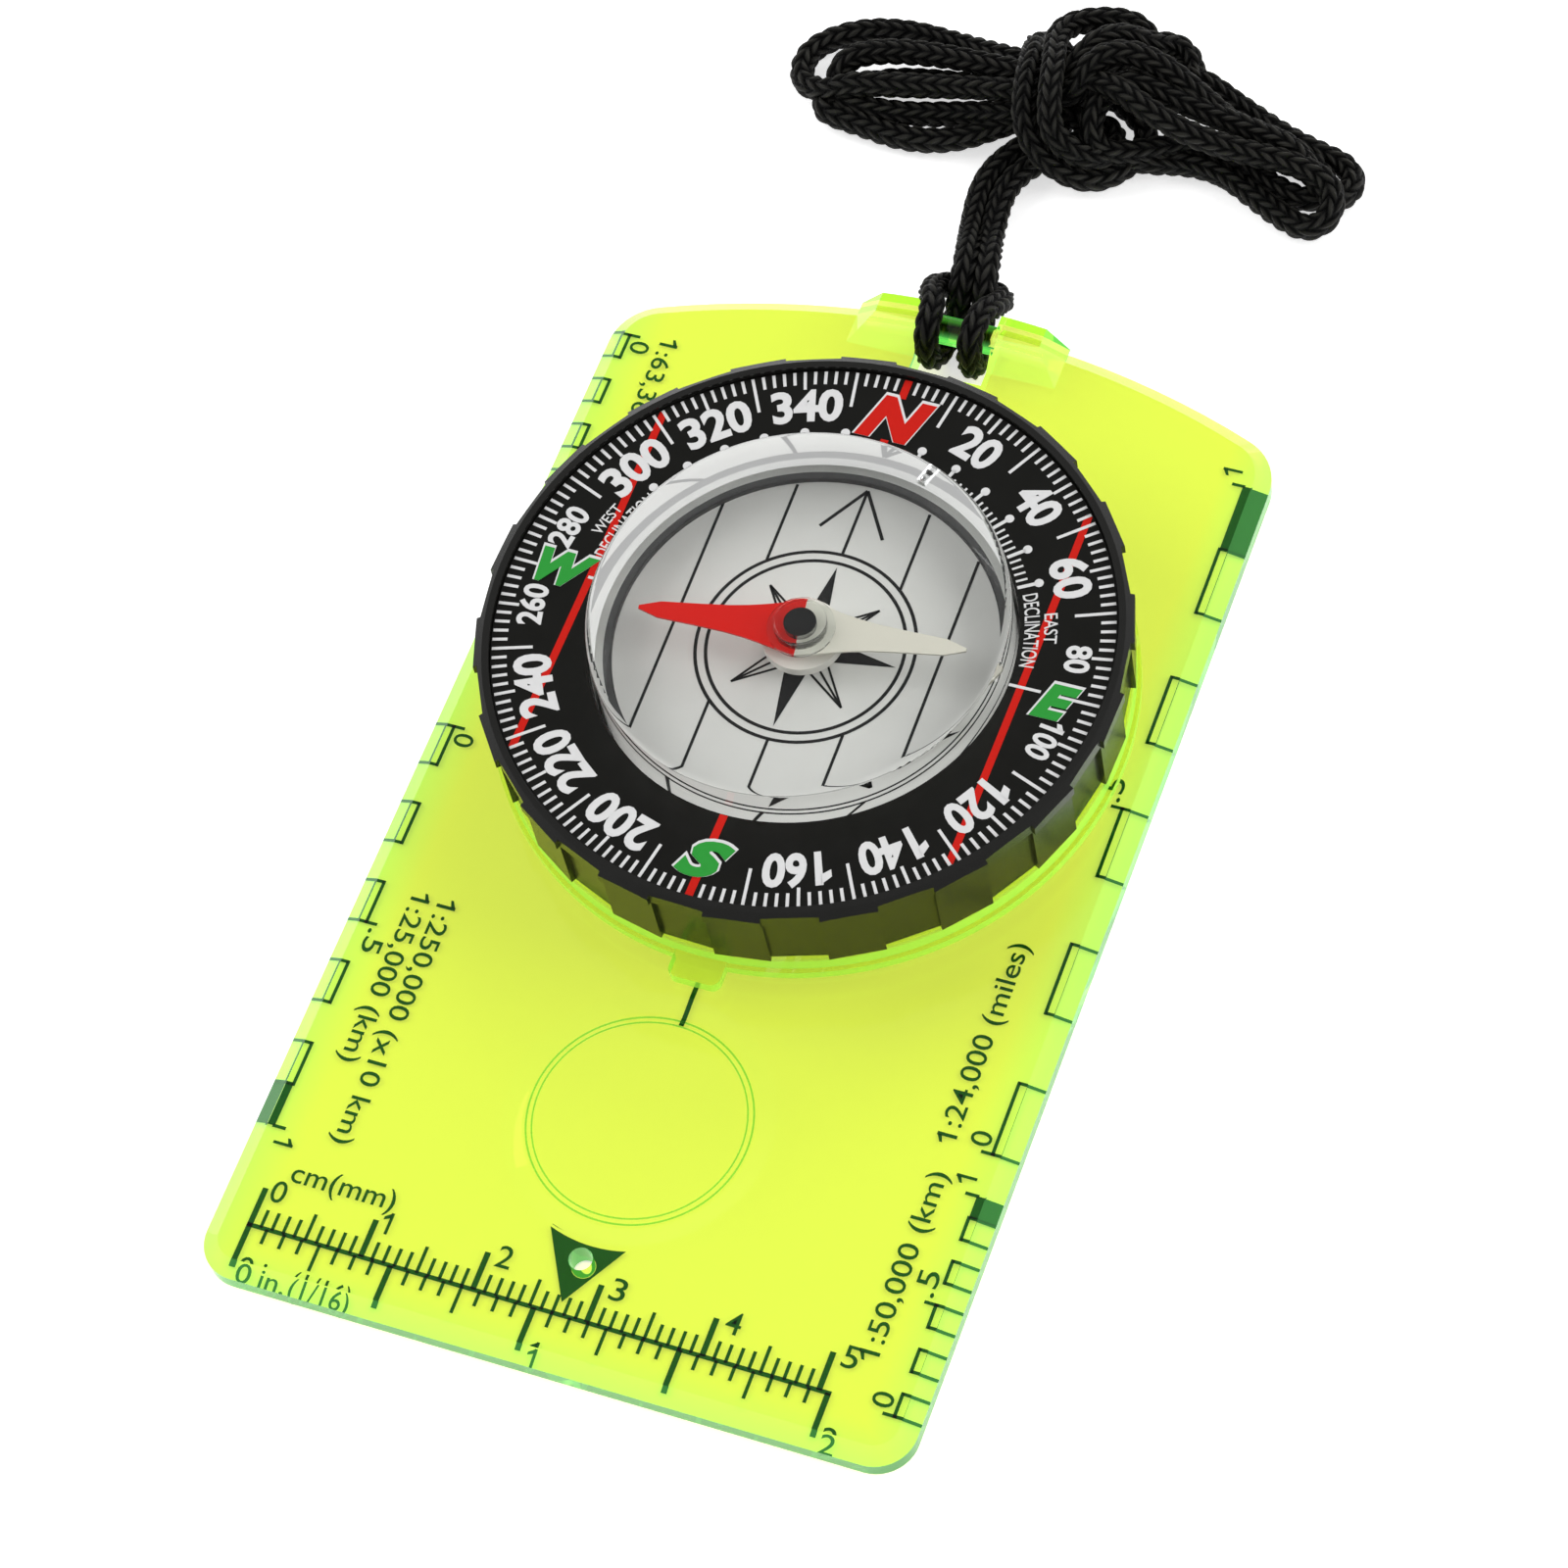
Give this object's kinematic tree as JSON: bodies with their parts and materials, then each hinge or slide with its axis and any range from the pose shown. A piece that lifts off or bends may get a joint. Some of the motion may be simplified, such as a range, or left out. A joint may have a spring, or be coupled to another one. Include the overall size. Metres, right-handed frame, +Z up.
{
  "type": "baseplate compass",
  "caption": "Clear baseplate compass with rotating azimuth bezel, liquid capsule with adjustable declination, pivoted needle, magnifier, map scales and neck lanyard.",
  "frame": {"origin": "centre of the baseplate's flat underside", "axes": "+Y along the direction of travel towards the lanyard end, +X to the right, +Z up through the dial"},
  "size_m": [0.062, 0.1406, 0.0155],
  "materials": {
    "plate_plastic": "clear fluorescent yellow-green moulding",
    "index_plastic": "clear fluorescent yellow-green moulding",
    "washer_plastic": "low-friction acetal",
    "cord": "knitted polyester cord",
    "bezel_plastic": "satin crown, glossy skirt",
    "dial_print": "satin black with printed graduations",
    "retainer_plastic": "satin",
    "clip_plastic": "satin",
    "capsule_floor": "clear, printed",
    "capsule_clear": "clear polished",
    "seal_rubber": "black rubber",
    "plug_steel": "polished",
    "pin_steel": "ground",
    "needle_paint": "gloss paint, one half red and one half white",
    "hub_clear": "clear",
    "jewel": "polished",
    "disc_plastic": "cream white"
  },
  "bodies": {
    "plate": {"baseplate": "plate_plastic", "index_ring": "index_plastic", "glide_washer": "washer_plastic", "lanyard_hitch": "cord", "lanyard_knot": "cord", "lanyard_hank_left": "cord", "lanyard_hank_right": "cord"},
    "bezel": {"bezel_ring": "bezel_plastic", "dial_plate": "dial_print", "retaining_ring": "retainer_plastic", "capsule_clip": "clip_plastic"},
    "capsule": {"capsule_cup": "capsule_floor", "capsule_cover": "capsule_clear", "capsule_seal": "seal_rubber", "filler_plug": "plug_steel", "pivot_pin": "pin_steel"},
    "needle": {"needle_blade": "needle_paint", "needle_hub": "hub_clear", "needle_jewel": "jewel", "needle_disc": "disc_plastic"}
  },
  "joints": [
    {"name": "bezel_turn", "type": "hinge", "parent": "plate", "child": "bezel", "pos_m": [0, 0.0128, 0.008], "axis": [0, 0, 1], "continuous": true},
    {"name": "declination_turn", "type": "hinge", "parent": "bezel", "child": "capsule", "pos_m": [0, 0.0128, 0.009], "axis": [0, 0, 1], "range_deg": [-60, 60]},
    {"name": "needle_swing", "type": "hinge", "parent": "capsule", "child": "needle", "pos_m": [0, 0.0128, 0.0113], "axis": [0, 0, 1], "continuous": true}
  ]
}
